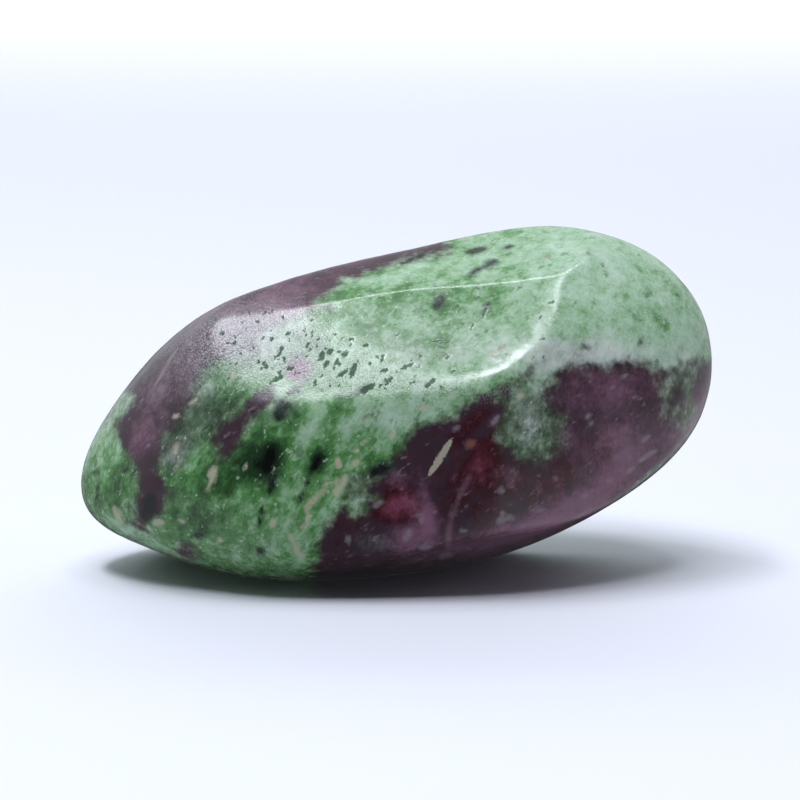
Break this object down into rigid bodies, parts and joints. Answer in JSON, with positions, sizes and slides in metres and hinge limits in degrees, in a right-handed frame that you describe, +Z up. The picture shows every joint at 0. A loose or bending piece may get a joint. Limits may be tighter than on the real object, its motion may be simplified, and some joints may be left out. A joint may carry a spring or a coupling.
{
  "type": "tumbled ruby in zoisite stone",
  "caption": "Long, lozenge-shaped tumbled pebble of green zoisite with purple-red ruby and black flecks, polished flats with soft edges, lying on a worn flat base.",
  "frame": {"origin": "middle of the stone's plan box, on the table plane that its worn base lies on", "axes": "+X along the stone's length, from the low pointed end to the raised blunt end; -Y is the front, which the broad polished facets face; +Z up"},
  "size_m": [0.0303, 0.0166, 0.0163],
  "materials": {
    "ruby_in_zoisite": "polished"
  },
  "bodies": {
    "root": {"tumbled_stone": "ruby_in_zoisite"}
  },
  "joints": []
}
